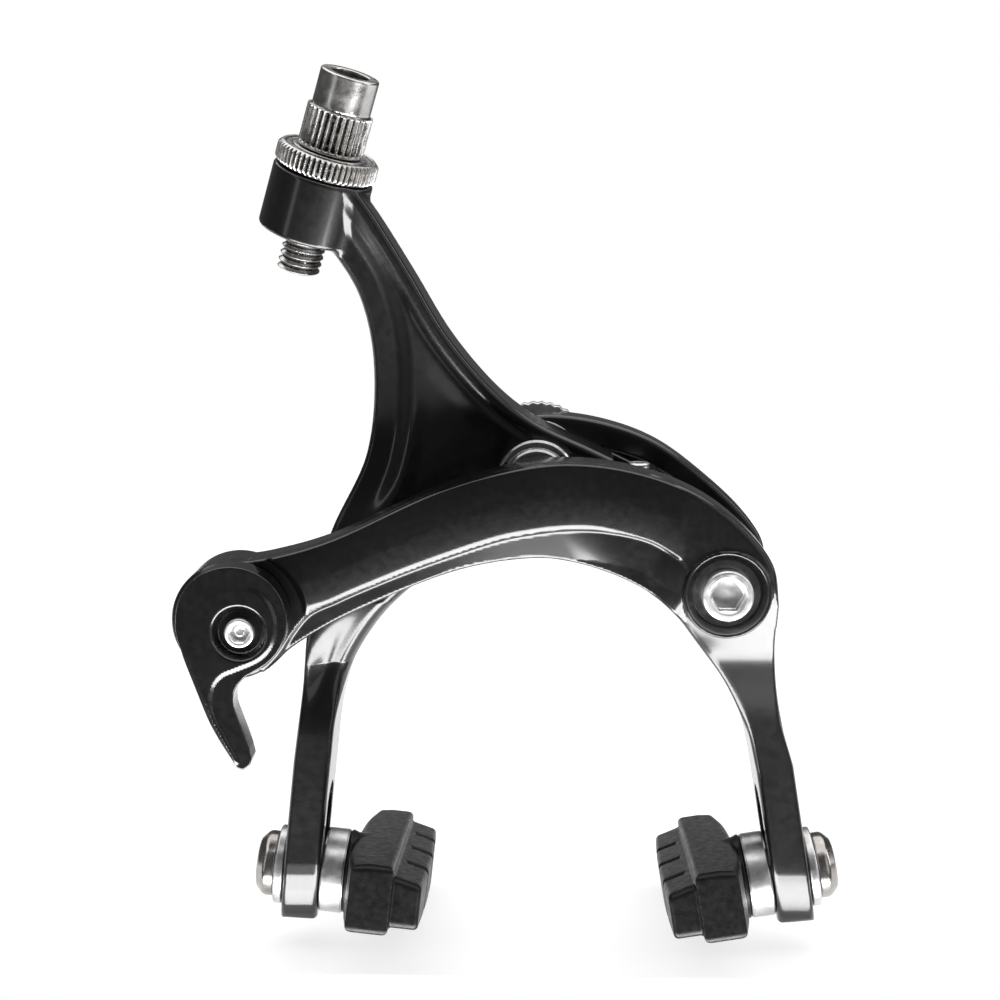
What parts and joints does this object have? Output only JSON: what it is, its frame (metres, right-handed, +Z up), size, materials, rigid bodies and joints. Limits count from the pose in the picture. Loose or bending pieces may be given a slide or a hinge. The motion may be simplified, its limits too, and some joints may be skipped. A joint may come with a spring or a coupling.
{
  "type": "rim brake caliper",
  "caption": "Dual-pivot side-pull bicycle rim brake caliper with a quick-release lever, a barrel adjuster and rubber brake shoes on slotted legs.",
  "frame": {"origin": "on the centre bolt's axis, at the rear face of the serrated washer, which seats on the fork crown", "axes": "+Z up, away from the wheel's hub; +Y rearwards along the centre bolt's free end; +X to the viewer's right with the brake seen from the front"},
  "size_m": [0.0928, 0.083, 0.1231],
  "materials": {
    "black_paint": "satin-gloss black paint over forged aluminium",
    "chrome_steel": "bright plated steel",
    "zinc_steel": "zinc-plated steel",
    "adjuster_steel": "turned and knurled nickel-plated steel",
    "spring_steel": "drawn spring wire",
    "blackened_steel": "blackened steel",
    "bronze": "sintered bronze",
    "white_nylon": "natural nylon",
    "shoe_rubber": "moulded black rubber"
  },
  "bodies": {
    "mount": {"bracket": "black_paint", "centre_bolt": "zinc_steel", "serrated_washer": "zinc_steel", "rear_thrust_washer": "white_nylon", "front_thrust_washer": "white_nylon", "pivot_nut": "blackened_steel", "side_pivot_bolt": "chrome_steel", "side_thrust_washer": "white_nylon", "side_head_washer": "blackened_steel", "return_spring": "spring_steel"},
    "y_arm": {"y_arm": "black_paint", "y_arm_bush": "bronze", "tail_plate": "zinc_steel", "spring_slider": "white_nylon"},
    "c_arm": {"c_arm": "black_paint", "side_pivot_bush": "bronze"},
    "centring_screw": {"centring_screw": "zinc_steel"},
    "qr_lever": {"qr_lever": "black_paint", "qr_hub": "zinc_steel", "qr_screw": "chrome_steel", "anchor_plate": "zinc_steel", "anchor_washer": "zinc_steel", "anchor_bolt": "zinc_steel"},
    "lock_ring": {"lock_ring": "adjuster_steel"},
    "adjuster_barrel": {"adjuster_barrel": "adjuster_steel"},
    "left_clamp": {"left_concave_washer": "zinc_steel", "left_convex_washer": "zinc_steel", "left_outer_washer": "zinc_steel", "left_shoe_bolt": "chrome_steel"},
    "left_shoe": {"left_shoe_insert": "zinc_steel", "left_brake_shoe": "shoe_rubber"},
    "right_clamp": {"right_concave_washer": "zinc_steel", "right_convex_washer": "zinc_steel", "right_outer_washer": "zinc_steel", "right_shoe_bolt": "chrome_steel"},
    "right_shoe": {"right_shoe_insert": "zinc_steel", "right_brake_shoe": "shoe_rubber"}
  },
  "joints": [
    {"name": "y_arm_pivot", "type": "hinge", "parent": "mount", "child": "y_arm", "pos_m": [0, -0.0145, 0], "axis": [0, 1, 0], "range_deg": [-5.5, 0], "stiffness_Nm_per_rad": 1, "springref_deg": 20.05, "deforming": ["return_spring"]},
    {"name": "c_arm_pivot", "type": "hinge", "parent": "mount", "child": "c_arm", "pos_m": [0.0255, -0.022, -0.014], "axis": [0, 1, 0], "range_deg": [0, 7.4]},
    {"name": "centring_screw_turn", "type": "hinge", "parent": "c_arm", "child": "centring_screw", "pos_m": [0.0144, -0.0152, -0.001], "axis": [0, 0, 1], "range_deg": [-180, 180]},
    {"name": "qr_lever_turn", "type": "hinge", "parent": "c_arm", "child": "qr_lever", "pos_m": [-0.0413, -0.028, -0.0183], "axis": [0, 1, 0], "range_deg": [0, 90]},
    {"name": "lock_ring_turn", "type": "hinge", "parent": "y_arm", "child": "lock_ring", "pos_m": [-0.0285, -0.0206, 0.0432], "axis": [0.2989, -0.2069, 0.9316], "range_deg": [0, 1450]},
    {"name": "adjuster_slide", "type": "slide", "parent": "y_arm", "child": "adjuster_barrel", "axis": [0.2989, -0.2069, 0.9316], "range_m": [0, 0.004]},
    {"name": "left_reach", "type": "slide", "parent": "y_arm", "child": "left_clamp", "axis": [0.108, 0, 0.9942], "range_m": [0, 0.01]},
    {"name": "left_shoe_angle", "type": "hinge", "parent": "left_clamp", "child": "left_shoe", "pos_m": [-0.02474, -0.0198, -0.05815], "axis": [0.9942, 0, -0.108], "range_deg": [-8, 20]},
    {"name": "right_reach", "type": "slide", "parent": "c_arm", "child": "right_clamp", "axis": [-0.165, 0, 0.9863], "range_m": [0, 0.01]},
    {"name": "right_shoe_angle", "type": "hinge", "parent": "right_clamp", "child": "right_shoe", "pos_m": [0.02768, -0.0198, -0.05849], "axis": [-0.9863, 0, -0.165], "range_deg": [-20, 8]}
  ],
  "couplings": [
    {"joint": "c_arm_pivot", "follows": "y_arm_pivot", "ratio": -1.32},
    {"joint": "lock_ring_turn", "follows": "adjuster_slide", "rad_per_m": 6283.2}
  ]
}
